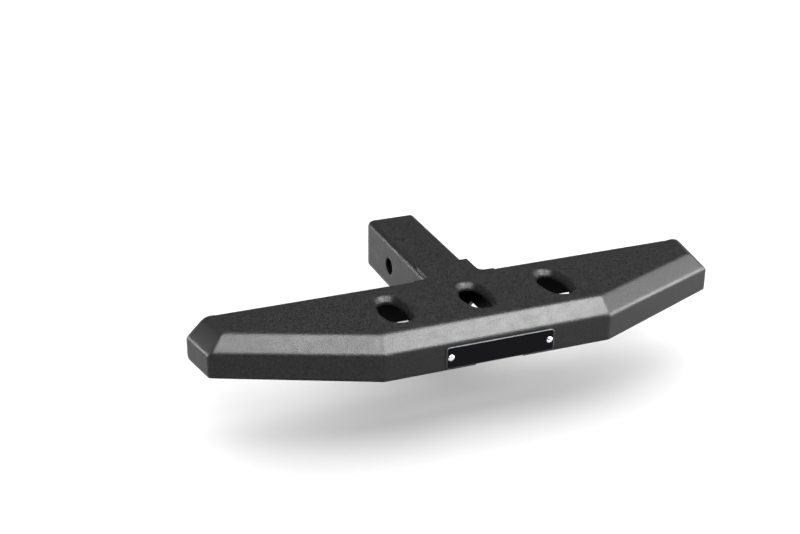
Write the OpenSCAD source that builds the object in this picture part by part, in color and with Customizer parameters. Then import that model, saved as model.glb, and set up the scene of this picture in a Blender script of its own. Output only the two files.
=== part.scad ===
// Hitch receiver step: a folded steel tread on a square shank.
// The origin is the centre of the pin hole on the shank's axis. X runs along the tread,
// +Y points into the receiver and +Z points up.

/* [Tread outline] */
// Width of the tread across its ends, at the inboard edge
tread_w = 508; // [460:1:580]
// Depth of the tread from the inboard edge to the front face
tread_d = 99; // [95:1:120]
// Width of the straight centre section, at the front face
centre_w = 216.8; // [190:0.2:240]
// Angle by which each wing sweeps back from the centre section
wing_angle = 22.4; // [18:0.1:24]
// Angle by which each end narrows towards the front
end_angle = 10.4; // [6:0.1:14]
// Distance from the inboard edge to the pin hole
reach = 100; // [90:1:140]

/* [Sheet and folds] */
// Thickness of the steel sheet
sheet_t = 4; // [3:0.1:4.6]
// Height of the skirt at the front
skirt_h = 39.4; // [39:0.1:48]
// Rise of the skirt's bottom edge from the centre section to each end
skirt_rise = 2; // [0:0.1:4]
// Horizontal width of the bevel along the front and the wings
bevel_run = 14; // [11:0.1:17]
// Horizontal width of the bevel at each end
end_bevel_run = 16.9; // [14:0.1:20]
// Height of the bevel along the front and the wings
bevel_drop = 14.8; // [12:0.1:17]
// Height of the bevel at each end
end_bevel_drop = 17; // [14:0.1:19]
// Outer radius of the folds along the centre section, the ends' skirt and the flanges
fold_r = 5.5; // [5:0.1:5.8]
// Outer radius of the folds along the wings
wing_fold_r = 6; // [5.9:0.1:7]
// Outer radius of the fold along the top of each end
end_fold_r = 12; // [8:0.5:14]
// Outer radius of the upright bends between the centre section and the wings
wing_bend_r = 6; // [5:0.5:12]
// Outer radius of the upright corners between the wings and the ends
end_bend_r = 4.8; // [4.7:0.1:8]
// Radius of the end skirts' lower corner beside the inboard edge
skirt_corner_r = 4; // [2:0.5:10]
// Depth of the shallow relief in the front skirt, below the name plate
relief_h = 1.6; // [0.8:0.1:1.8]
// Width of that relief
relief_w = 46; // [30:1:60]

/* [Inboard flanges and tongue] */
// Height of the flanges folded down along the inboard edge
flange_h = 38; // [30:0.5:44]
// Distance that the flanges' outer face stands past the inboard edge
flange_out = 3.5; // [1:0.5:5]
// Distance from the middle of the tread to each flange
flange_in = 40; // [36:1:60]
// Distance from each end of the tread to the flange's end
flange_end_gap = 26; // [24:1:50]
// Radius of each flange's lower corner at its outer end
flange_corner_r = 10; // [6:0.5:14]
// Radius of each flange's lower corner beside the shank
flange_inner_r = 5; // [3:0.5:8]
// Length of the tongue past the inboard edge
tongue_l = 30; // [24:1:34]
// Radius of the fillets at the tongue's root
root_r = 7; // [4:0.5:8]
// Distance that the flat sheet beside the tongue stands past the inboard edge
root_land = 1.6; // [0.5:0.1:3]

/* [Pressed slots] */
// Distance between neighbouring slots
slot_pitch = 79; // [65:1:90]
// Distance from the inboard edge to a slot's near end
slot_near = 21.5; // [20:0.1:23]
// Least distance from a slot's far end to the front bevel
slot_far = 17.8; // [15:0.1:20]
// Radius of the rounded ends of a slot
slot_end_r = 8.3; // [7.5:0.1:9]
// Outer radius of the pressed lip round a slot
lip_r = 6.2; // [5.6:0.1:6.8]
// Depth of the pressed lip below the top of the tread
lip_h = 6.9; // [6.9:0.1:10]

/* [Shank] */
// Outside width of the square shank
shank_w = 50.8; // [50:0.1:51.2]
// Wall thickness of the shank
shank_wall = 5; // [4:0.1:5.4]
// Outside corner radius of the shank
shank_r = 6; // [5.6:0.1:7]
// Length of the shank past the pin hole
shank_tail = 58; // [40:1:90]
// Radius of the pin hole
pin_r = 8.3; // [8:0.1:8.8]
// Height of the shank's side walls that carry the tread
bearer_h = 29.3; // [24:0.1:32]
// Distance from the inboard edge to where the shank has its full height
heel_in = 28; // [24:1:32]
// Distance from the inboard edge to where the shank's top wall ends under the tread
window_in = 10; // [4:1:12]
// Width of the opening left between the bearers below the middle slot
window_w = 36; // [35:0.5:37]

/* [Name plate and rivets] */
// Length of the name plate
plate_l = 103.5; // [90:0.5:130]
// Height of the name plate
plate_h = 20.5; // [16:0.5:20.5]
// Thickness of the name plate
plate_t = 1.6; // [1:0.1:2.5]
// Corner radius of the name plate
plate_r = 3; // [1:0.5:5]
// Distance from each end of the plate to its rivet
rivet_in = 4.4; // [4:0.1:12]
// Radius of a rivet's body
rivet_r = 1.6; // [1.2:0.1:2]
// Radius of a rivet's domed head
rivet_head_r = 2.9; // [2.6:0.1:3.6]
// Height of a rivet's domed head
rivet_head_h = 1.3; // [0.9:0.1:1.8]

/* [Welds] */
// Radius of the weld bead along each bearer
bearer_bead_r = 6; // [5:0.5:8]
// Radius of the upright beads at the front skirt
skirt_bead_r = 5; // [3:0.5:7]

/* [Hidden] */

powder_black = "#1f2022";
plate_black = "#121214";
rivet_silver = "#c9cbcd";

// Faces round a full circle, and flat steps along a fold: an odd number, so that the edge
// between two bevels meets the middle of a flat step
round_fn = 96;
fold_steps = 7;
// Overlap of solids that are one piece, and overshoot of cuts
joint = 0.5;
over = 2;
// Gap between the bearers and the folds of the tread
seat_gap = 0.25;
// Gap between a rivet's body and its hole
rivet_gap = 0.05;
// Thickest part of a rivet behind the sheet, and its length
rivet_tail_r = 2.5;
rivet_tail_l = 3.2;
// The stub of the mandrel in a rivet's head: radius and depth of the dimple round it
mandrel_r = 0.9;
mandrel_h = 0.5;

// Directions of the wings' and the ends' outward normals, and the distance of each
// face from the middle of the inboard edge along its normal
front_turn = -90;
wing_turn = wing_angle - 90;
end_turn = -end_angle;
wing_k = centre_w / 2 * sin(wing_angle) + tread_d * cos(wing_angle);
end_k = tread_w / 2 * cos(end_angle);

// Slope of the bevel along the front and the height at which its lower fold ends
front_slope = atan(bevel_drop / bevel_run);
front_low_z = -bevel_drop - fold_r * tan(45 - front_slope / 2);

// Corner between a wing and an end, both moved inwards by inset
function end_corner(inset) =
    let (a = wing_k - inset, b = end_k - inset, d = cos(wing_angle + end_angle))
    [(b * cos(wing_angle) - a * sin(end_angle)) / d, (b * sin(wing_angle) - a * cos(end_angle)) / d];

// Points along the arc that rounds the corner at, between its two neighbours
function unit(v) = v / norm(v);
function corner_points(before, at, after, r) =
    r <= 0 ? [at] :
    let (
        u = unit(before - at),
        w = unit(after - at),
        half = acos(u * w) / 2,
        middle = at + unit(u + w) * r / sin(half),
        first = at + u * r / tan(half) - middle,
        last = at + w * r / tan(half) - middle,
        a = atan2(first.y, first.x),
        turn = (atan2(last.y, last.x) - a + 540) % 360 - 180
    )
    [for (i = [0:fold_steps])
        middle + r * [cos(a + turn * i / fold_steps), sin(a + turn * i / fold_steps)]];

// The slots' punches come in steps of this unit
punch_step = 0.05;
// Slot outline of four arcs. The centres of the ends and the sides make right triangles
// with these whole numbers of units, so that the arcs meet smoothly at exact numbers.
slot_triangle = [12, 35, 37];
slot_room = tread_d - bevel_run - slot_near - slot_far;
slot_unit = round((slot_room / 2 - slot_end_r) / slot_triangle[0] / punch_step) * punch_step;
slot_end_y = slot_triangle[0] * slot_unit;
slot_side_x = slot_triangle[1] * slot_unit;
slot_side_r = slot_triangle[2] * slot_unit + slot_end_r;
slot_turn = atan(slot_triangle[0] / slot_triangle[1]);
slot_in = slot_near + slot_room / 2;
// Width of the flat rim that each lip shares with the sheet round it
rim = 1;

// Points along an arc, all but its last
function arc_points(centre, r, from, to) =
    [for (i = [0:fold_steps - 1])
        let (a = from + (to - from) * i / fold_steps) centre + r * [cos(a), sin(a)]];

// Points round the slot outline moved outwards by grow
function oval_points(grow) = concat(
    arc_points([-slot_side_x, 0], slot_side_r + grow, -slot_turn, slot_turn),
    arc_points([0, slot_end_y], slot_end_r + grow, slot_turn, 180 - slot_turn),
    arc_points([slot_side_x, 0], slot_side_r + grow, 180 - slot_turn, 180 + slot_turn),
    arc_points([0, -slot_end_y], slot_end_r + grow, 180 + slot_turn, 360 - slot_turn)
);

// Where the tread's top, front face and plate lie
tread_top_z = shank_w / 2 + sheet_t;
plate_z = front_low_z - plate_h / 2;
rivet_x = plate_l / 2 - rivet_in;
bearer_x = shank_w / 2;
bearer_z = -sheet_t - bearer_h;
flange_end = tread_w / 2 - flange_end_gap;
bead_root_x = bearer_x - shank_r / 2;

// Puts children made from the middle of the inboard edge in their place
module at_tread() {
    translate([0, -reach, tread_top_z]) children();
}

// Outline with rounded corners; each corner is [x, y, radius]
module rounded_outline(corners) {
    n = len(corners);
    at = [for (c = corners) [c[0], c[1]]];
    polygon([for (i = [0:n - 1])
        each corner_points(at[(i + n - 1) % n], at[i], at[(i + 1) % n], corners[i][2])]);
}

// Rectangle about its middle, with corners rounded by true arcs
module rounded_rectangle(width, height, r) {
    square([width, height - 2 * r], center = true);
    square([width - 2 * r, height], center = true);
    for (x = [-1, 1], y = [-1, 1])
        translate([x * (width / 2 - r), y * (height / 2 - r)]) circle(r, $fn = round_fn);
}

// What is cut from a corner at the origin to round it: the corner points to +X and +Y
module corner_cut(r) {
    difference() {
        translate([-r, -r]) square(r + over);
        translate([-r, -r]) circle(r, $fn = round_fn);
    }
}

// Profile drawn in Y and Z, carried along X from x0 to x1
module along_x(x0, x1) {
    translate([x0, 0, 0]) rotate([90, 0, 90]) linear_extrude(x1 - x0) children();
}

// Outline drawn in X and Z, carried along Y from y0 to y1
module along_y(y0, y1) {
    translate([0, y1, 0]) rotate([90, 0, 0]) linear_extrude(y1 - y0) children();
}

// All that lies behind one face of the tread, below its bevel and below the top
module behind_face(turn, k, run, drop, top_r, low_r, inset) {
    slope = atan(drop / run);
    low_z = -drop - inset * tan(45 - slope / 2);
    top_x = -run - inset * tan(slope / 2);
    far = 2 * tread_w;
    rotate([0, 0, turn])
        translate([k, 0, 0])
            along_y(-tread_w, tread_w)
                rounded_outline([
                    [-inset, -tread_d, 0], [-inset, low_z, low_r - inset],
                    [top_x, -inset, top_r - inset], [-far, -inset, 0], [-far, -tread_d, 0]
                ]);
}

module behind_wing_and_end(inset) {
    intersection() {
        behind_face(wing_turn, wing_k, bevel_run, bevel_drop, wing_fold_r, wing_fold_r, inset);
        behind_face(end_turn, end_k, end_bevel_run, end_bevel_drop, end_fold_r, fold_r, inset);
    }
}

// The tread's closed form, moved inwards by inset
module pan_form(inset) {
    bend = [centre_w / 2 - inset * tan(wing_angle / 2), inset - tread_d];
    corner = end_corner(inset);
    far = [corner[0] + (tread_d - corner[1]) * tan(end_angle), tread_d];
    intersection() {
        behind_face(front_turn, tread_d, bevel_run, bevel_drop, fold_r, fold_r, inset);
        behind_wing_and_end(inset);
        mirror([1, 0, 0]) behind_wing_and_end(inset);
        translate([0, 0, -tread_d]) linear_extrude(tread_d)
            rounded_outline([
                [-corner[0], corner[1], end_bend_r - inset],
                [-bend[0], bend[1], wing_bend_r - inset],
                [bend[0], bend[1], wing_bend_r - inset],
                [corner[0], corner[1], end_bend_r - inset],
                [far[0], far[1], 0], [-far[0], far[1], 0]
            ]);
    }
}

// Space below the skirt's bottom edge, seen from the front
module skirt_trim() {
    end_z = skirt_rise - skirt_h;
    far = tread_w;
    end_x = end_corner(0)[0];
    along_y(-2 * tread_d, 2 * tread_d)
        polygon([
            [-far, end_z], [-end_x, end_z], [-centre_w / 2, -skirt_h],
            [centre_w / 2, -skirt_h], [end_x, end_z], [far, end_z],
            [far, -far], [-far, -far]
        ]);
    along_y(-2 * tread_d, -tread_d / 2)
        translate([-relief_w / 2, -skirt_h - relief_h]) square([relief_w, 2 * relief_h]);
}

// Rounded corner of the end skirts beside the inboard edge
module skirt_corners() {
    for (side = [-1, 1])
        translate([side * tread_w / 2, 0, skirt_rise - skirt_h])
            along_x(-2 * end_bevel_run, 2 * end_bevel_run)
                mirror([0, 1]) corner_cut(skirt_corner_r);
}

// Folded sheet: top, bevels and skirt of one thickness
module pan() {
    difference() {
        pan_form(0);
        pan_form(sheet_t);
        translate([-tread_w, 0, -2 * tread_d]) cube([2 * tread_w, 2 * tread_d, 3 * tread_d]);
        skirt_trim();
        skirt_corners();
        for (side = [0, 1])
            mirror([side, 0, 0])
                translate([flange_in, flange_out - fold_r, -sheet_t - over])
                    cube([flange_end - flange_in, fold_r, sheet_t + 2 * over]);
        for (i = [-1:1])
            translate([i * slot_pitch, -slot_in, -sheet_t - over])
                linear_extrude(sheet_t + 2 * over) polygon(oval_points(lip_r + rim / 2));
    }
}

// Section of the pressed lip: a quarter bend and a short straight edge, start from the opening
module lip_section(start) {
    steps = [0:fold_steps];
    outer = [for (i = steps) let (a = 90 * i / fold_steps) lip_r * [1 - sin(a), cos(a) - 1]];
    inner_r = lip_r - sheet_t;
    inner = [for (i = steps) let (a = 90 - 90 * i / fold_steps)
        [lip_r - inner_r * sin(a), inner_r * cos(a) - lip_r]];
    translate([start, 0])
        polygon(concat(
            [[lip_r + rim, 0]], outer, [[0, -lip_h], [sheet_t, -lip_h]], inner,
            [[lip_r + rim, -sheet_t]]
        ));
}

// Lip round one slot, swept along its four arcs
module slot_lip() {
    reach_x = 4 * slot_side_x;
    reach_y = 4 * slot_end_y;
    for (side = [0, 1]) {
        mirror([side, 0, 0]) translate([-slot_side_x, 0, 0]) intersection() {
            rotate_extrude($fn = 2 * round_fn) lip_section(slot_side_r);
            translate([0, 0, -2 * lip_h]) linear_extrude(4 * lip_h)
                polygon([[0, 0], [reach_x, -reach_y], [reach_x, reach_y]]);
        }
        mirror([0, side, 0]) translate([0, slot_end_y, 0]) intersection() {
            rotate_extrude($fn = round_fn) lip_section(slot_end_r);
            translate([0, 0, -2 * lip_h]) linear_extrude(4 * lip_h)
                polygon([[0, 0], [reach_x, reach_y], [0, 2 * reach_y], [-reach_x, reach_y]]);
        }
    }
}

// Flat tongue with filleted root, and the flat lands between it and the flanges
module tongue() {
    half = shank_w / 2;
    root_x = half + root_r;
    translate([0, 0, -sheet_t]) linear_extrude(sheet_t) {
        translate([-half, -joint]) square([shank_w, tongue_l + joint]);
        difference() {
            translate([-root_x, -joint]) square([2 * root_x, root_land + root_r + joint]);
            for (side = [-1, 1])
                translate([side * root_x, root_land + root_r]) circle(root_r, $fn = round_fn);
        }
        translate([-flange_in, -joint]) square([2 * flange_in, root_land + joint]);
    }
}

// Section of an inboard flange: flat start, fold and upright leg
module flange_section() {
    steps = [0:fold_steps];
    inner_r = fold_r - sheet_t;
    outer = [for (i = steps) let (a = 90 * i / fold_steps) fold_r * [sin(a), cos(a) - 1]];
    inner = [for (i = steps) let (a = 90 - 90 * i / fold_steps)
        [inner_r * sin(a), inner_r * cos(a) - fold_r]];
    translate([flange_out - fold_r, 0])
        polygon(concat(
            [[-joint, 0]], outer, [[fold_r, -flange_h], [inner_r, -flange_h]], inner,
            [[-joint, -sheet_t]]
        ));
}

// Inboard flange on the right, with rounded lower corners
module flange() {
    intersection() {
        along_x(flange_in, flange_end) flange_section();
        along_y(-2 * fold_r, 2 * fold_r)
            rounded_outline([
                [flange_in, -flange_h, flange_inner_r], [flange_end, -flange_h, flange_corner_r],
                [flange_end, over, 0], [flange_in, over, 0]
            ]);
    }
}

// Places of the two rivets on the front face, looking along +Y
module at_rivets() {
    for (side = [-1, 1])
        translate([side * rivet_x, -tread_d, plate_z]) rotate([-90, 0, 0]) children();
}

// Holes for the rivets through the plate and the front skirt
module rivet_holes() {
    at_rivets()
        translate([0, 0, -plate_t - over])
            cylinder(r = rivet_r + rivet_gap, h = plate_t + sheet_t + 2 * over, $fn = round_fn);
}

module tread() {
    color(powder_black) at_tread() difference() {
        union() {
            pan();
            tongue();
            for (side = [0, 1])
                mirror([side, 0, 0]) flange();
            for (i = [-1:1])
                translate([i * slot_pitch, -slot_in, 0]) slot_lip();
        }
        rivet_holes();
    }
}

// What is cut from the shank below the tread: bottom wall and heel, drawn in Y and Z
module heel_cut() {
    low = -sheet_t - shank_w - over;
    heel_z = -sheet_t - shank_w;
    slope_y = heel_in - (bearer_z - heel_z);
    along_x(-shank_w, shank_w)
        polygon([
            [-2 * tread_d, bearer_z], [slope_y, bearer_z], [heel_in, heel_z],
            [heel_in, low], [-2 * tread_d, low]
        ]);
}

// What the tread's bevel leaves of the bearers' front corner, drawn in Y and Z
module bevel_cut() {
    top_y = bevel_run - tread_d + sheet_t * tan(front_slope / 2) + seat_gap;
    face_y = sheet_t - tread_d;
    low_z = -bevel_drop - sheet_t * tan(45 - front_slope / 2) - seat_gap;
    along_x(-shank_w, shank_w)
        polygon([
            [top_y, over], [top_y, -sheet_t], [face_y, low_z], [-2 * tread_d, low_z],
            [-2 * tread_d, over]
        ]);
}

module shank() {
    inside = shank_w - 2 * shank_wall;
    color(powder_black) difference() {
        along_y(-reach - tread_d + sheet_t, shank_tail) difference() {
            rounded_rectangle(shank_w, shank_w, shank_r);
            rounded_rectangle(inside, inside, shank_r - shank_wall);
        }
        rotate([0, 90, 0]) cylinder(r = pin_r, h = 2 * shank_w, center = true, $fn = round_fn);
        at_tread() {
            heel_cut();
            bevel_cut();
            translate([-window_w / 2, -2 * tread_d, -sheet_t - shank_wall - over])
                cube([window_w, 2 * tread_d - window_in, shank_wall + 2 * over]);
        }
    }
}

// Bead in the groove between the sheet and the rounded corner of the right bearer
module bearer_bead() {
    along_y(sheet_t + bevel_run - tread_d, -fold_r) difference() {
        intersection() {
            translate([bearer_x, -sheet_t]) circle(bearer_bead_r, $fn = round_fn);
            translate([bead_root_x, -sheet_t - bearer_bead_r]) square(2 * bearer_bead_r);
            translate([0, -sheet_t - bearer_bead_r]) square([2 * bearer_x, bearer_bead_r]);
        }
        translate([0, -sheet_t - shank_w / 2]) rounded_rectangle(shank_w, shank_w, shank_r);
    }
}

// Upright bead between the right bearer and the back of the front skirt
module skirt_bead() {
    top_z = -bevel_drop - fold_r;
    translate([bearer_x, sheet_t - tread_d, bearer_z])
        linear_extrude(top_z - bearer_z) intersection() {
            circle(skirt_bead_r, $fn = round_fn);
            square(skirt_bead_r);
        }
}

// Bead across the shank at the end of the tongue
module tongue_bead() {
    half = shank_w / 2 - shank_r;
    along_x(-half, half)
        translate([tongue_l, -sheet_t]) intersection() {
            circle(sheet_t, $fn = round_fn);
            square(sheet_t);
        }
}

module weld_beads() {
    color(powder_black) at_tread() {
        tongue_bead();
        for (side = [0, 1])
            mirror([side, 0, 0]) {
                bearer_bead();
                skirt_bead();
            }
    }
}

module name_plate() {
    color(plate_black) at_tread() difference() {
        translate([0, 0, plate_z])
            along_y(-tread_d - plate_t, -tread_d)
                rounded_rectangle(plate_l, plate_h, plate_r);
        rivet_holes();
    }
}

// One blind rivet: domed head in front, body through plate and sheet, upset tail behind
module rivet() {
    dome_r = (rivet_head_r * rivet_head_r + rivet_head_h * rivet_head_h) / (2 * rivet_head_h);
    difference() {
        translate([0, 0, -plate_t]) {
            intersection() {
                translate([0, 0, dome_r - rivet_head_h]) sphere(dome_r, $fn = round_fn);
                translate([0, 0, -rivet_head_h])
                    cylinder(r = rivet_head_r, h = rivet_head_h, $fn = round_fn);
            }
            cylinder(r = rivet_r, h = plate_t + sheet_t + rivet_tail_l, $fn = round_fn);
        }
        translate([0, 0, -plate_t - rivet_head_h - over]) difference() {
            cylinder(r = mandrel_r, h = over + mandrel_h, $fn = round_fn);
            cylinder(r = mandrel_r / 2, h = over + mandrel_h, $fn = round_fn);
        }
    }
    translate([0, 0, sheet_t]) cylinder(r = rivet_tail_r, h = rivet_tail_l, $fn = round_fn);
}

module name_plate_rivets() {
    color(rivet_silver) at_tread() at_rivets() rivet();
}

tread();
shank();
weld_beads();
name_plate();
name_plate_rivets();
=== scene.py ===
"""Looks of a hitch receiver step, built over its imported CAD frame.

The folded tread and the square shank are merged copies of their CAD meshes with smooth folds.
The weld beads, the name plate and its rivets are parametric surfaces. Lengths are written in
millimetres, as in the part's source, and turned to metres where a mesh is made.
"""

import logging
import math
from dataclasses import dataclass
from enum import Enum
from typing import Any, Sequence

import bmesh
import bpy
import numpy as np
from mathutils import Matrix, Vector


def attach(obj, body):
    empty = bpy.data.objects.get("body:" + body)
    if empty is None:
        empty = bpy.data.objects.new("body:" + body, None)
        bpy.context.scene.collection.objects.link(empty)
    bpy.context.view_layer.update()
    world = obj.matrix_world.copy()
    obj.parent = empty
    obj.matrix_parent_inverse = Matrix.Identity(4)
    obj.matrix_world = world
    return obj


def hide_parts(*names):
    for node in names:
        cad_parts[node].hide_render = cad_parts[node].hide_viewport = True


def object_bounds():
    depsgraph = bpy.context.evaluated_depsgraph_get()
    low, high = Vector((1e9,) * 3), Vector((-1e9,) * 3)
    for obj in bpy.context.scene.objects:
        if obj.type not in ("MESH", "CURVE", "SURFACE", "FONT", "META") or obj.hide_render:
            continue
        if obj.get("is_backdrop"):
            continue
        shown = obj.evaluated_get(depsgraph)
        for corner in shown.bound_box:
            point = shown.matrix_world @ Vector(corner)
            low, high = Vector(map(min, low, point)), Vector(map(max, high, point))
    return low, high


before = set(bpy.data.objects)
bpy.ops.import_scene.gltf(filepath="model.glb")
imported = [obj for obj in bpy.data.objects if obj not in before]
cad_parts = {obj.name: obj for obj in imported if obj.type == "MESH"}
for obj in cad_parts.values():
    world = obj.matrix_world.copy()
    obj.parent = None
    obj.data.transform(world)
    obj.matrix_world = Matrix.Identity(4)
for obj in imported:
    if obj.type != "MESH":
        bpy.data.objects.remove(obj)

LOG = logging.getLogger("hitch_step")
MM = 0.001

Array = np.ndarray


class Node(str, Enum):
    """Names of the CAD nodes."""

    TREAD = "tread"
    SHANK = "shank"
    WELDS = "weld_beads"
    PLATE = "name_plate"
    RIVETS = "name_plate_rivets"


class Slot(str, Enum):
    """Material slots of the record."""

    COAT = "black_powder_coat"
    PLATE = "plate_black"
    RIVET = "rivet_metal"


@dataclass(frozen=True)
class Sizes:
    """Sizes of the part in millimetres, as in its source."""

    reach: float = 100.0
    top_z: float = 29.4
    sheet: float = 4.0
    tread_depth: float = 99.0
    shank: float = 50.8
    tongue: float = 30.0
    bevel_drop: float = 14.8
    bevel_run: float = 14.0
    fold: float = 5.5
    bearer: float = 29.3
    plate_length: float = 103.5
    plate_height: float = 20.5
    plate_thick: float = 1.6
    plate_corner: float = 3.0
    plate_z: float = 1.9
    rivet_x: float = 47.35
    slot_pitch: float = 79.0
    slot_middle: float = 44.35
    slot_end_y: float = 14.4
    slot_end_r: float = 8.3
    slot_side_x: float = 42.0
    slot_side_r: float = 52.7
    lip_r: float = 6.2
    lip_h: float = 6.9


SIZES = Sizes()


# Numbers and colours


def linear(hex_colour: str) -> tuple[float, float, float, float]:
    """Turns an sRGB hex value into the linear colour that a shader takes.

    Args:
        hex_colour: Six hex digits, with or without the hash sign.

    Returns:
        Linear red, green, blue and an alpha of 1.
    """
    digits = hex_colour.lstrip("#")
    srgb = np.array([int(digits[i : i + 2], 16) for i in (0, 2, 4)]) / 255
    value = np.where(srgb <= 0.04045, srgb / 12.92, ((srgb + 0.055) / 1.055) ** 2.4)
    return (*(float(v) for v in value), 1.0)


# Meshes


def ring_faces(rings: int, points: int, capped: bool) -> list[tuple[int, ...]]:
    """Faces between closed rings of points that lie one after another.

    Args:
        rings: How many rings there are.
        points: Points in each ring.
        capped: Whether the first and the last ring are closed with one face each.

    Returns:
        Vertex numbers of each face, with outward normals where the rings turn
        anticlockwise seen from the last ring.
    """
    ring, point = np.meshgrid(np.arange(rings - 1), np.arange(points), indexing="ij")
    after = (point + 1) % points
    quads = np.stack(
        [
            ring * points + point,
            ring * points + after,
            (ring + 1) * points + after,
            (ring + 1) * points + point,
        ],
        axis=-1,
    ).reshape(-1, 4)
    faces = [tuple(q) for q in quads.tolist()]
    if capped:
        faces.append(tuple(range(points - 1, -1, -1)))
        faces.append(tuple(range((rings - 1) * points, rings * points)))
    return faces


def add_mesh(name: str, vertices: Array, faces: Sequence[tuple[int, ...]]) -> bpy.types.Object:
    """Makes a mesh object from whole arrays.

    Args:
        name: Name of the piece.
        vertices: Points of shape (n, 3), in millimetres.
        faces: Vertex numbers of each face.

    Returns:
        The new object, at the origin.
    """
    mesh = bpy.data.meshes.new(name)
    mesh.from_pydata((vertices * MM).tolist(), [], faces)
    mesh.validate()
    obj = bpy.data.objects.new(name, mesh)
    bpy.context.scene.collection.objects.link(obj)
    tidy = bmesh.new()
    tidy.from_mesh(mesh)
    bmesh.ops.remove_doubles(tidy, verts=tidy.verts, dist=1e-7)
    bmesh.ops.recalc_face_normals(tidy, faces=tidy.faces)
    tidy.to_mesh(mesh)
    tidy.free()
    return obj


def smooth(obj: bpy.types.Object, sharp_deg: float) -> None:
    """Shades a mesh smooth apart from its sharp edges, and keeps flat faces flat.

    Args:
        obj: The mesh object.
        sharp_deg: Edges that turn by more than this stay sharp.
    """
    obj.data.shade_smooth()
    obj.data.set_sharp_from_angle(angle=math.radians(sharp_deg))
    weights = obj.modifiers.new("flat faces stay flat", "WEIGHTED_NORMAL")
    weights.mode = "FACE_AREA"
    weights.weight = 100
    weights.keep_sharp = True


def finish_piece(obj: bpy.types.Object, material: bpy.types.Material) -> None:
    """Gives a piece its material and body, and reports it.

    Args:
        obj: The finished piece.
        material: Its material.
    """
    obj.data.materials.clear()
    obj.data.materials.append(material)
    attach(obj, "root")
    LOG.info("%s: %d faces", obj.name, len(obj.data.polygons))


# Materials


class Graph:
    """A material's nodes, added one at a time."""

    def __init__(self, name: str) -> None:
        """Starts an empty material of that name."""
        self.material = bpy.data.materials.new(name)
        self.material.use_nodes = True
        self.tree = self.material.node_tree
        self.tree.nodes.clear()

    def add(self, kind: str, inputs: dict[str | int, Any] | None = None, **settings: Any) -> Any:
        """Adds a node.

        Args:
            kind: The node's type without its ShaderNode prefix.
            inputs: Value or output socket for each input, by name or number.
            settings: Properties of the node itself.

        Returns:
            The node.
        """
        node = self.tree.nodes.new("ShaderNode" + kind)
        for key, value in settings.items():
            setattr(node, key, value)
        for key, value in (inputs or {}).items():
            if isinstance(value, bpy.types.NodeSocket):
                self.tree.links.new(value, node.inputs[key])
            else:
                node.inputs[key].default_value = value
        return node

    def noise(self, size_mm: float, detail: float = 2.0) -> Any:
        """Noise of a real grain size, read in object coordinates.

        Args:
            size_mm: Size of one grain in millimetres.
            detail: Octaves of finer noise.

        Returns:
            The output socket of the noise, from 0 to 1.
        """
        place = self.add("TexCoord")
        grain = self.add(
            "TexNoise",
            {"Vector": place.outputs["Object"], "Scale": 1 / (size_mm * MM), "Detail": detail},
        )
        return grain.outputs["Fac"]

    def between(self, source: Any, low: float, high: float) -> Any:
        """Maps a noise from its usual 0.3 to 0.7 to a range.

        Args:
            source: Output socket to map.
            low: Result at 0.3.
            high: Result at 0.7.

        Returns:
            The output socket of the result.
        """
        mapped = self.add(
            "MapRange",
            {"Value": source, "From Min": 0.3, "From Max": 0.7, "To Min": low, "To Max": high},
        )
        return mapped.outputs["Result"]

    def close(self, shader: Any) -> bpy.types.Material:
        """Joins the shader's only output to the material's and returns the material."""
        self.add("OutputMaterial", {"Surface": shader.outputs[0]})
        return self.material


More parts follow.
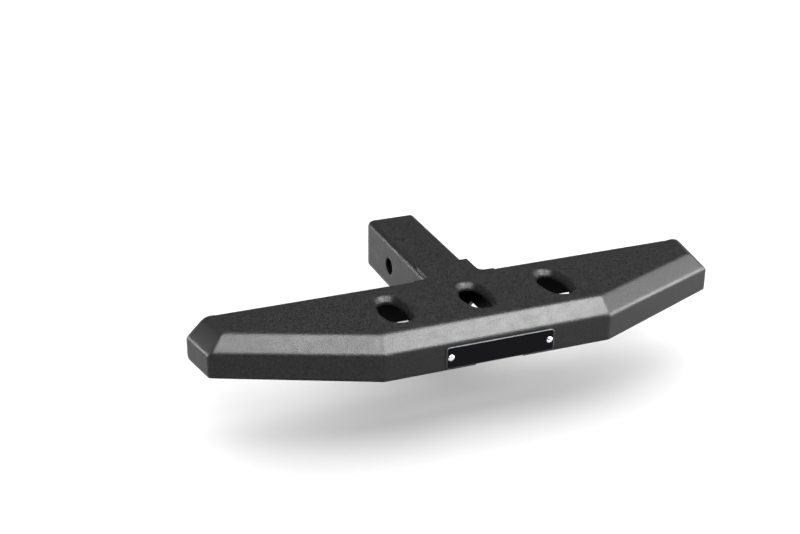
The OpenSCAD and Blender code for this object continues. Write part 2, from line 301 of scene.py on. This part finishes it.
@dataclass(frozen=True)
class PowderCoat:
    """Baked polyester powder coat on steel: black, with a fine even grain.

    The grain scatters the soft light into a broad grey sheen and leaves edges softly rounded,
    because the coat draws back from corners as it melts. The recesses under the tread and in
    the slots carry painted shade: ambient occlusion darkens their colour and takes away their shine.
    """

    name: str = "black powder coat"
    colour: str = "#020202"
    colour_far: str = "#161616"
    recess_shade_colour: str = "#030303"
    roughness_low: float = 0.33
    roughness_high: float = 0.39
    ior: float = 1.45
    # Depth of the recesses that get painted shade, and the shine left in them.
    recess_mm: float = 120.0
    recess_shade_shine: float = 0.02
    open_shine: float = 0.18
    # Share of open surroundings up to which the painted recess shade is full, and from which it is
    # gone.
    shade_full_below: float = 0.6
    shade_none_above: float = 0.85
    # The real grain is about 0.3 mm; it is drawn coarser so that the photo's pixels can show it.
    grain_mm: float = 1.3
    grain_depth_mm: float = 0.13
    # Slow waviness of the melted coat.
    peel_mm: float = 9.0
    peel_depth_mm: float = 0.02
    edge_mm: float = 4.0

    def make(self) -> bpy.types.Material:
        """Builds the material."""
        graph = Graph(self.name)
        grain = graph.noise(self.grain_mm, 3.0)
        peel = graph.noise(self.peel_mm)
        colour = graph.add(
            "Mix",
            {
                "Factor": graph.between(grain, 0.0, 1.0),
                "A": linear(self.colour),
                "B": linear(self.colour_far),
            },
            data_type="RGBA",
        )
        # Painted shade: the fewer open surroundings a point has, the darker its colour and the less
        # its shine.
        open_sky = graph.add(
            "AmbientOcclusion", {"Distance": self.recess_mm * MM}, samples=8, only_local=True
        ).outputs["AO"]
        # Share of the coat's own colour and shine kept outside the painted shade: 0 in the deepest
        # recess, 1 in the open.
        reach = graph.add(
            "MapRange", {"Value": open_sky, "From Min": self.shade_full_below, "From Max": self.shade_none_above}
        ).outputs["Result"]
        shaded_coat_colour = graph.add(
            "Mix",
            {"Factor": reach, "A": linear(self.recess_shade_colour), "B": colour.outputs["Result"]},
            data_type="RGBA",
        )
        shine = graph.add(
            "MapRange", {"Value": reach, "To Min": self.recess_shade_shine, "To Max": self.open_shine}
        )
        edge = graph.add("Bevel", {"Radius": self.edge_mm * MM}, samples=6)
        wave = graph.add(
            "Bump",
            {"Height": peel, "Distance": self.peel_depth_mm * MM, "Normal": edge.outputs["Normal"]},
        )
        bump = graph.add(
            "Bump",
            {"Height": grain, "Distance": self.grain_depth_mm * MM, "Normal": wave.outputs["Normal"]},
        )
        shader = graph.add(
            "BsdfPrincipled",
            {
                "Base Color": shaded_coat_colour.outputs["Result"],
                "Roughness": graph.between(peel, self.roughness_low, self.roughness_high),
                "IOR": self.ior,
                "Specular IOR Level": shine.outputs["Result"],
                "Normal": bump.outputs["Normal"],
            },
        )
        return graph.close(shader)


@dataclass(frozen=True)
class PlatePaint:
    """Satin black enamel on aluminium, rubbed bright along the plate's edge."""

    name: str = "satin black plate enamel"
    paint: str = "#040405"
    metal: str = "#4a4c4e"
    paint_shine: float = 0.03
    paint_roughness: float = 0.34
    metal_roughness: float = 0.45
    speck_mm: float = 1.1

    def make(self) -> bpy.types.Material:
        """Builds the material; the mesh's own edge attribute says where metal shows."""
        graph = Graph(self.name)
        speck = graph.noise(self.speck_mm)
        edge = graph.add("Attribute", attribute_name="edge").outputs["Fac"]
        colour = graph.add(
            "Mix",
            {"Factor": edge, "A": linear(self.paint), "B": linear(self.metal)},
            data_type="RGBA",
        )
        rough = graph.add(
            "Mix",
            {
                "Factor": edge,
                "A": graph.between(speck, self.paint_roughness - 0.03, self.paint_roughness + 0.05),
                "B": self.metal_roughness,
            },
        )
        bump = graph.add("Bump", {"Height": speck, "Distance": 0.01 * MM})
        shader = graph.add(
            "BsdfPrincipled",
            {
                "Base Color": colour.outputs["Result"],
                "Metallic": edge,
                "Roughness": rough.outputs["Result"],
                "Specular IOR Level": self.paint_shine,
                "Normal": bump.outputs["Normal"],
            },
        )
        return graph.close(shader)


@dataclass(frozen=True)
class RivetMetal:
    """Plain aluminium of a blind rivet: bright, with faint marks of the setting tool."""

    name: str = "bright aluminium rivet"
    colour: str = "#d3d5d6"
    roughness: float = 0.24
    mark_mm: float = 0.8

    def make(self) -> bpy.types.Material:
        """Builds the material."""
        graph = Graph(self.name)
        mark = graph.noise(self.mark_mm)
        bump = graph.add("Bump", {"Height": mark, "Distance": 0.02 * MM})
        shader = graph.add(
            "BsdfPrincipled",
            {
                "Base Color": linear(self.colour),
                "Metallic": 1.0,
                "Roughness": graph.between(mark, self.roughness - 0.06, self.roughness + 0.1),
                "Normal": bump.outputs["Normal"],
            },
        )
        return graph.close(shader)


@dataclass(frozen=True)
class FloorPaint:
    """Matt studio floor, faintly uneven. It is mid grey, and the ceiling light makes it white.

    Its under side is clear, so that a view from below shows the step.
    """

    name: str = "matt white floor"
    colour: str = "#707070"
    roughness: float = 0.85
    shine: float = 0.2
    cloud_mm: float = 60.0

    def make(self) -> bpy.types.Material:
        """Builds the material."""
        graph = Graph(self.name)
        uneven = graph.noise(self.cloud_mm)
        shader = graph.add(
            "BsdfPrincipled",
            {
                "Base Color": linear(self.colour),
                "Roughness": graph.between(uneven, self.roughness - 0.05, self.roughness + 0.05),
                "Specular IOR Level": self.shine,
            },
        )
        below = graph.add("NewGeometry").outputs["Backfacing"]
        clear = graph.add("BsdfTransparent")
        shown = graph.add("MixShader", {0: below, 1: shader.outputs["BSDF"], 2: clear.outputs["BSDF"]})
        return graph.close(shown)


# Pieces


@dataclass
class SheetCopy:
    """A CAD node's mesh, merged so that its folds shade as smooth bends."""

    node: Node
    name: str
    sharp_deg: float = 14.5

    def build(self) -> bpy.types.Object:
        """Copies and merges the mesh and stands it in for its node."""
        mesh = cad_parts[self.node.value].data.copy()
        mesh.name = self.name
        obj = bpy.data.objects.new(self.name, mesh)
        bpy.context.scene.collection.objects.link(obj)
        merge = bmesh.new()
        merge.from_mesh(mesh)
        bmesh.ops.remove_doubles(merge, verts=merge.verts, dist=2e-6)
        bmesh.ops.recalc_face_normals(merge, faces=merge.faces)
        merge.to_mesh(mesh)
        merge.free()
        if self.node is Node.TREAD:
            FlaredLips().form(mesh)
        smooth(obj, self.sharp_deg)
        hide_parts(self.node.value)
        return obj

    def dress(self, obj: bpy.types.Object, material: bpy.types.Material) -> None:
        """Gives the copy the coat."""
        finish_piece(obj, material)


@dataclass(frozen=True)
class FlaredLips:
    """The pressed lips' final form: a short bend that runs into a straight sloping flare."""

    sizes: Sizes = SIZES
    slope_deg: float = 52.0
    bend_steps: int = 5
    lip_steps: int = 7
    # Angle on the round section that stands for the slot's lower edge.
    edge_deg: float = 96.0
    # How near a point lies to an edge, to the round's facets and to the flat top, to be on it.
    near_edge: float = 0.05
    near_round: float = 0.12
    near_top: float = 0.005

    def around(self, points: Array) -> tuple[Array, Array, Array]:
        """Measures points against the outline of the nearest slot.

        The outline is four arcs. In the quarter of the slot that holds a point, the point
        belongs to the side's arc if its direction from that arc's centre is within the arc,
        and else to the end's. The distance is the length to the arc's centre less its radius.

        Args:
            points: Points of shape (n, 3), in millimetres.

        Returns:
            The centre of each point's arc (n, 2), the unit direction from it (n, 2) and the
            distance from the slot's edge (n,), which is positive outside the slot.
        """
        z = self.sizes
        slot = np.clip(np.round(points[:, 0] / z.slot_pitch), -1, 1) * z.slot_pitch
        middle = np.column_stack([slot, np.full(len(points), -z.reach - z.slot_middle)])
        place = points[:, :2] - middle
        sign = np.where(place < 0, -1.0, 1.0)
        near = np.abs(place)
        turn = math.atan2(z.slot_end_y, z.slot_side_x)
        side = np.arctan2(near[:, 1], near[:, 0] + z.slot_side_x) < turn
        centre = np.where(side[:, None], [-z.slot_side_x, 0.0], [0.0, z.slot_end_y])
        radius = np.where(side, z.slot_side_r, z.slot_end_r)
        away = near - centre
        length = np.linalg.norm(away, axis=1)
        direction = away / np.maximum(length, 1e-9)[:, None]
        return middle + centre * sign, direction * sign, length - radius

    def profile(self) -> tuple[Array, Array, Array]:
        """The flare's upper surface, from the sheet to the slot's lower edge.

        Returns:
            The angle of each step of the plain round lip, from 0 at the sheet to a little
            more than 90 degrees at the edge, and the new distance and height of each.
        """
        z = self.sizes
        slope = math.radians(self.slope_deg)
        rise = 1 - math.cos(slope)
        bend = (z.lip_r * math.tan(slope) - z.lip_h) / (math.sin(slope) * math.tan(slope) - rise)
        turn = np.linspace(0, slope, self.bend_steps + 1)
        fall = np.linspace(0, 1, self.lip_steps - self.bend_steps + 2)[1:]
        foot = np.array([z.lip_r - bend * math.sin(slope), -bend * rise])
        out = np.concatenate([z.lip_r - bend * np.sin(turn), foot[0] * (1 - fall)])
        height = np.concatenate([-bend * (1 - np.cos(turn)), foot[1] + (-z.lip_h - foot[1]) * fall])
        angle = np.concatenate([np.linspace(0, 90, self.lip_steps + 1), [self.edge_deg]])
        return angle, out, height

    def form(self, mesh: bpy.types.Mesh) -> None:
        """Moves the lips' points from the plain round section to the flare.

        The upper surface follows the profile by its angle on the round section. The under
        side runs straight, one sheet thickness away along the flare's normal.
        """
        z = self.sizes
        flat = np.empty(len(mesh.vertices) * 3, dtype=np.float32)
        mesh.vertices.foreach_get("co", flat)
        points = flat.reshape(-1, 3).astype(float) / MM
        centre, direction, out = self.around(points)
        radius = np.linalg.norm(points[:, :2] - centre, axis=1) - out
        height = points[:, 2] - z.top_z
        beside = (out > -self.near_edge) & (out < z.lip_r + self.near_edge)
        inside = beside & (height > -z.lip_h - self.near_edge) & (height < -self.near_top)
        to_middle = np.hypot(z.lip_r - out, z.lip_r + height)
        straight = (out < self.near_edge) & (height < -z.lip_r + self.near_edge)
        upper = inside & ((np.abs(to_middle - z.lip_r) < self.near_round) | straight)
        under = inside & ~upper
        angle, new_out, new_height = self.profile()
        turned = np.minimum(np.degrees(np.arctan2(z.lip_r - out, z.lip_r + height)), 90.0)
        lowest = straight & (height < -z.lip_h + self.near_edge)
        turned = np.where(lowest, self.edge_deg, turned)
        slope = math.radians(self.slope_deg)
        edge = z.sheet / math.sin(slope)
        low = np.clip((-z.sheet - height) / (z.lip_h - z.sheet), 0, 1)
        slack = (z.lip_h - z.sheet) / math.tan(slope)
        out = np.where(upper, np.interp(turned, angle, new_out), out)
        out = np.where(under, edge + (1 - low) * slack, out)
        height = np.where(upper, np.interp(turned, angle, new_height), height)
        moved = centre + direction * (radius + out)[:, None]
        changed = upper | under
        points[changed, :2] = moved[changed]
        points[changed, 2] = height[changed] + z.top_z
        mesh.vertices.foreach_set("co", (points * MM).astype(np.float32).ravel())
        LOG.info("flared lips: %d points", int(changed.sum()))


@dataclass(frozen=True)
class Bead:
    """One fillet weld: from start to end, in the corner between the faces along a and b."""

    start: tuple[float, float, float]
    end: tuple[float, float, float]
    a: tuple[float, float, float]
    b: tuple[float, float, float]
    leg: float
    # How far the bead's root lies back in the groove, along -a.
    root: float = 0.0
    ripple_pitch: float = 1.8
    ripple_depth: float = 0.35

    def surface(self, around: int = 11, per_mm: float = 2.5) -> tuple[Array, list[tuple[int, ...]]]:
        """Sweeps a quarter round that swells and shrinks in crescents.

        The point at length s and angle t is start + s * along + r * (cos t * a + sin t * b),
        with r = leg * taper(s) - depth * (0.5 + 0.5 * cos(2 pi (s - bow) / pitch)). The bow
        sin(2 t) * pitch / 2 bends each ripple into a crescent, and the taper rounds the ends.

        Args:
            around: Points across the bead.
            per_mm: Rings along each millimetre.

        Returns:
            The vertices in millimetres and the faces.
        """
        first, last = np.array(self.start), np.array(self.end)
        side_a, side_b = np.array(self.a), np.array(self.b)
        length = float(np.linalg.norm(last - first))
        along = (last - first) / length
        s = np.linspace(0, length, int(length * per_mm))[:, None]
        t = np.linspace(0, math.pi / 2, around)[None, :]
        bow = np.sin(2 * t) * self.ripple_pitch / 2
        ripple = 0.5 + 0.5 * np.cos(2 * math.pi * (s - bow) / self.ripple_pitch)
        gap = np.minimum(s, length - s) / self.leg
        taper = 0.35 + 0.65 * np.sqrt(1 - (1 - np.clip(gap, 0, 1)) ** 2)
        r = (self.leg - self.ripple_depth * ripple) * taper
        arc = r[..., None] * (
            np.cos(t)[..., None] * side_a + np.sin(t)[..., None] * side_b
        )
        line = first + s[..., None] * along
        root = line - side_a * self.root
        rings = np.concatenate([line + arc, root], axis=1)
        count, points = rings.shape[:2]
        return rings.reshape(-1, 3), ring_faces(count, points, capped=True)


@dataclass
class WeldBeads:
    """All the weld beads, as one piece."""

    sizes: Sizes = SIZES
    name: str = "weld_bead_ripples"
    # Legs of the fillets beside the shank and at the front skirt.
    side_leg: float = 5.8
    front_leg: float = 4.8
    # The tongue's bead is a little lower than the sheet and stops short of the tube's corners.
    tongue_low: float = 0.1
    corner_gap: float = 6.0
    # Depth of the groove between the round corner of the tube and the top plate.
    groove: float = 3.0
    front_gap: float = 0.3

    def beads(self) -> list[Bead]:
        """Places the beads where the source has them."""
        z = self.sizes
        half = z.shank / 2
        under = z.top_z - z.sheet
        inner = -z.reach
        front = -z.reach - z.tread_depth + z.sheet
        low = under - z.bearer
        tongue_end = inner + z.tongue
        reach_x = half - self.corner_gap
        bend_z = z.top_z - z.bevel_drop - z.fold
        made = [
            Bead(
                start=(-reach_x, tongue_end, under),
                end=(reach_x, tongue_end, under),
                a=(0, 1, 0),
                b=(0, 0, 1),
                leg=z.sheet - self.tongue_low,
            ),
        ]
        for side in (-1, 1):
            made.append(
                Bead(
                    start=(side * half, front + z.bevel_run, under),
                    end=(side * half, inner - z.fold, under),
                    a=(side, 0, 0),
                    b=(0, 0, -1),
                    leg=self.side_leg,
                    root=self.groove,
                )
            )
            made.append(
                Bead(
                    start=(side * half, front, low + self.front_gap),
                    end=(side * half, front, bend_z),
                    a=(side, 0, 0),
                    b=(0, 1, 0),
                    leg=self.front_leg,
                )
            )
        return made

    def build(self) -> bpy.types.Object:
        """Makes one mesh of all the beads."""
        vertices: list[Array] = []
        faces: list[tuple[int, ...]] = []
        offset = 0
        for bead in self.beads():
            points, quads = bead.surface()
            vertices.append(points)
            faces.extend(tuple(i + offset for i in face) for face in quads)
            offset += len(points)
        obj = add_mesh(self.name, np.concatenate(vertices), faces)
        smooth(obj, 60)
        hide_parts(Node.WELDS.value)
        return obj

    def dress(self, obj: bpy.types.Object, material: bpy.types.Material) -> None:
        """Gives the beads the coat that was sprayed over them."""
        finish_piece(obj, material)


@dataclass
class NamePlate:
    """Bare plate with rounded corners and a narrow bright edge."""

    sizes: Sizes = SIZES
    name: str = "name_plate_enamelled"
    edge_round: float = 0.4
    edge_steps: int = 4
    corner_points: int = 9
    # Width of the rubbed border on the front, and of its fade into the enamel.
    border: float = 0.15
    fade: float = 0.12

    def outline(self, inset: float) -> Array:
        """Points round the plate, moved inwards by inset, as (n, 2)."""
        z = self.sizes
        r = z.plate_corner - inset
        turn = np.linspace(0, math.pi / 2, self.corner_points)
        quarter = np.arange(4)[:, None] * math.pi / 2
        centre_x = (z.plate_length / 2 - z.plate_corner) * np.array([1, -1, -1, 1])[:, None]
        centre_z = (z.plate_height / 2 - z.plate_corner) * np.array([1, 1, -1, -1])[:, None]
        x = centre_x + r * np.cos(turn[None, :] + quarter)
        y = centre_z + r * np.sin(turn[None, :] + quarter)
        return np.stack([x, y], axis=-1).reshape(-1, 2)

    def build(self) -> bpy.types.Object:
        """Stacks rings from the back of the plate, over its rounded edge, to its front.

        Ring k of the rounded edge is moved inwards by e (1 - cos a) and stands e (1 - sin a)
        behind the front, for a from 0 to 90 degrees and e the edge's radius.
        """
        z = self.sizes
        e = self.edge_round
        angle = np.linspace(0, math.pi / 2, self.edge_steps + 1)
        border = e + self.border
        insets = [0.0, *(e * (1 - np.cos(angle))), border, border + self.fade]
        depths = [0.0, *(z.plate_thick - e * (1 - np.sin(angle))), z.plate_thick, z.plate_thick]
        back_y = -z.reach - z.tread_depth
        rings = []
        for inset, depth in zip(insets, depths):
            flat = self.outline(inset)
            y = np.full(len(flat), back_y - depth)
            rings.append(np.column_stack([flat[:, 0], y, flat[:, 1] + z.plate_z]))
        points = len(rings[0])
        obj = add_mesh(self.name, np.concatenate(rings), ring_faces(len(rings), points, capped=True))
        bright = np.zeros(len(rings) * points, dtype=np.float32)
        bright[points : points * (len(rings) - 1)] = 1
        mask = obj.data.attributes.new("edge", "FLOAT", "POINT")
        mask.data.foreach_set("value", bright)
        smooth(obj, 50)
        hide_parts(Node.PLATE.value)
        return obj

    def dress(self, obj: bpy.types.Object, material: bpy.types.Material) -> None:
        """Gives the plate its enamel."""
        finish_piece(obj, material)


@dataclass
class Rivets:
    """The two blind rivets, each one surface of revolution."""

    sizes: Sizes = SIZES
    name: str = "name_plate_rivet_heads"
    head: float = 2.9
    rise: float = 1.3
    dome_power: float = 2.4
    body: float = 1.6
    tail: float = 2.5
    tail_length: float = 3.2
    tail_round: float = 0.5
    mandrel: float = 0.5
    mandrel_top: float = 0.75
    mandrel_round: float = 0.12
    dimple: float = 0.9
    dimple_floor: float = 0.5
    turns: int = 40

    def profile(self) -> Array:
        """Radius and height over the plate from the mandrel's stub to the end of the tail."""
        z = self.sizes
        dome = np.linspace(self.dimple, self.head, 12)
        fall = self.rise * (1 - (dome / self.head) ** self.dome_power)
        back = -z.plate_thick - z.sheet
        end = back - self.tail_length
        stub = self.mandrel - self.mandrel_round
        front = [
            [0.0, self.mandrel_top],
            [stub, self.mandrel_top],
            [self.mandrel, self.mandrel_top - self.mandrel_round],
            [self.mandrel, self.dimple_floor],
            [self.dimple - self.mandrel_round, self.dimple_floor],
            [self.dimple, fall[0] - self.mandrel_round],
        ]
        rear = [
            [self.body, 0.0],
            [self.body, back],
            [self.tail - self.tail_round, back],
            [self.tail, back - self.tail_round],
            [self.tail, end + self.tail_round],
            [self.tail - self.tail_round, end],
            [0.0, end],
        ]
        return np.array(front + np.column_stack([dome, fall]).tolist() + rear)

    def build(self) -> bpy.types.Object:
        """Turns the profile about each rivet's axis, which points out of the plate along -Y.

        The point for angle a is (x0 + r cos a, y0 - h, z0 + r sin a).
        """
        z = self.sizes
        profile = self.profile()
        a = np.linspace(0, 2 * math.pi, self.turns, endpoint=False)[None, :]
        r, h = profile[:, :1], profile[:, 1:]
        front_y = -z.reach - z.tread_depth - z.plate_thick
        vertices: list[Array] = []
        faces: list[tuple[int, ...]] = []
        for side in (-1, 1):
            x = side * z.rivet_x + r * np.cos(a)
            y = np.broadcast_to(front_y - h, x.shape)
            height = z.plate_z + r * np.sin(a)
            offset = len(vertices) * profile.shape[0] * self.turns
            vertices.append(np.stack([x, y, height], axis=-1).reshape(-1, 3))
            rings = ring_faces(profile.shape[0], self.turns, capped=False)
            faces.extend(tuple(i + offset for i in face) for face in rings)
        obj = add_mesh(self.name, np.concatenate(vertices), faces)
        smooth(obj, 40)
        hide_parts(Node.RIVETS.value)
        return obj

    def dress(self, obj: bpy.types.Object, material: bpy.types.Material) -> None:
        """Gives the rivets their metal."""
        finish_piece(obj, material)


# Studio


@dataclass(frozen=True)
class Camera:
    """The photo's camera, found by fitting the step's outline. Place in millimetres."""

    place: tuple[float, float, float] = (-499.17, -1189.77, 583.31)
    azimuth: float = -22.189
    elevation: float = 24.517
    roll: float = 0.436
    lens: float = 64.4
    sensor: float = 36.0

    def build(self) -> bpy.types.Object:
        """Adds the camera and makes it the scene's."""
        az, el, roll = (math.radians(v) for v in (self.azimuth, self.elevation, self.roll))
        back = Vector((math.sin(az) * math.cos(el), -math.cos(az) * math.cos(el), math.sin(el)))
        right = (-back).cross(Vector((0, 0, 1))).normalized()
        up = back.cross(right)
        turned = math.cos(roll) * right + math.sin(roll) * up
        upright = -math.sin(roll) * right + math.cos(roll) * up
        data = bpy.data.cameras.new("camera")
        data.lens = self.lens
        data.sensor_width = self.sensor
        data.clip_start = 0.05
        data.clip_end = 50
        camera = bpy.data.objects.new("camera", data)
        pose = Matrix((turned, upright, back)).transposed().to_4x4()
        pose.translation = Vector(self.place) * MM
        camera.matrix_world = pose
        bpy.context.scene.collection.objects.link(camera)
        bpy.context.scene.camera = camera
        return camera


class Reach(Enum):
    """What a light works on: only what mirrors it, or only matt colour."""

    SHINE = "shine"
    COLOUR = "colour"


@dataclass(frozen=True)
class SoftBox:
    """A rectangular soft light aimed at the step. Place and size in metres."""

    name: str
    place: tuple[float, float, float]
    size: tuple[float, float]
    watts: float
    reach: Reach
    aim: tuple[float, float, float] = (0, -0.15, 0)

    def build(self) -> bpy.types.Object:
        """Adds the light, turned towards its aim."""
        data = bpy.data.lights.new(self.name, "AREA")
        data.shape = "RECTANGLE"
        data.size, data.size_y = self.size
        data.energy = self.watts
        lamp = bpy.data.objects.new(self.name, data)
        lamp.location = Vector(self.place)
        lamp.rotation_mode = "QUATERNION"
        lamp.visible_glossy = self.reach is Reach.SHINE
        lamp.visible_diffuse = self.reach is Reach.COLOUR
        lamp.rotation_quaternion = (Vector(self.aim) - lamp.location).to_track_quat("-Z", "Y")
        bpy.context.scene.collection.objects.link(lamp)
        lamp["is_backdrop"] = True
        return lamp


@dataclass(frozen=True)
class Studio:
    """White floor, soft lights and a dim surround."""

    floor_size: float = 14.0
    floor_drop: float = 0.055
    surround: str = "#8f9090"
    surround_strength: float = 0.35

    def build(self) -> None:
        """Adds the floor, the lights and the world."""
        low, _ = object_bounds()
        half = self.floor_size / 2
        mesh = bpy.data.meshes.new("floor")
        corners = [(-half, -half), (half, -half), (half, half), (-half, half)]
        mesh.from_pydata([(x, y, low.z - self.floor_drop) for x, y in corners], [], [(0, 1, 2, 3)])
        mesh.materials.append(FloorPaint().make())
        floor = bpy.data.objects.new("floor", mesh)
        bpy.context.scene.collection.objects.link(floor)
        floor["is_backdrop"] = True
        world = bpy.data.worlds.new("surround")
        world.use_nodes = True
        ground = world.node_tree.nodes["Background"]
        ground.inputs["Color"].default_value = linear(self.surround)
        ground.inputs["Strength"].default_value = self.surround_strength
        bpy.context.scene.world = world
        for box in self.lights():
            box.build()

    def lights(self) -> list[SoftBox]:
        """Boxes that one group of faces each mirrors, and two lights for all matt colour."""
        shine, colour = Reach.SHINE, Reach.COLOUR
        return [
            # Centre bevel and the back ends of the slots.
            SoftBox("key", (0.62, -0.95, 1.2), (1.0, 0.5), 112, shine, aim=(0, -0.19, 0)),
            # Left bevel.
            SoftBox("left key", (-0.42, -0.8, 1.2), (0.8, 0.5), 62, shine, aim=(-0.17, -0.16, 0)),
            # Floor and flat top, with the shadow that falls to the front and the left.
            SoftBox("ceiling", (0.5, 1.1, 2.6), (6.0, 6.0), 1160, colour, aim=(0.5, 1.1, 0)),
            # Floor in the shadow, which the ceiling alone leaves too dark.
            SoftBox("front wash", (-0.1, -1.9, 1.3), (2.0, 1.0), 165, colour, aim=(0, -0.2, -0.1)),
            # Right bevel, the skirt under it, and the left end.
            SoftBox("right box", (1.2, -0.35, 0.72), (0.8, 0.6), 12, shine),
            SoftBox("low right box", (1.3, -0.7, 0.2), (0.9, 0.6), 56, shine),
            SoftBox("low left box", (-1.2, 1.1, 0.0), (0.7, 0.3), 22, shine, aim=(-0.25, -0.1, 0)),
        ]


def main() -> None:
    """Builds and dresses every piece, then the studio and the camera."""
    logging.basicConfig(level=logging.INFO, format="%(name)s %(message)s")
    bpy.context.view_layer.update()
    bpy.context.scene.view_settings.view_transform = "Standard"
    coat = PowderCoat().make()
    for copy in (SheetCopy(Node.TREAD, "tread_sheet"), SheetCopy(Node.SHANK, "shank_tube")):
        copy.dress(copy.build(), coat)
    beads = WeldBeads()
    beads.dress(beads.build(), coat)
    plate = NamePlate()
    plate.dress(plate.build(), PlatePaint().make())
    rivets = Rivets()
    rivets.dress(rivets.build(), RivetMetal().make())
    Studio().build()
    Camera().build()


if __name__ == "__main__":
    main()
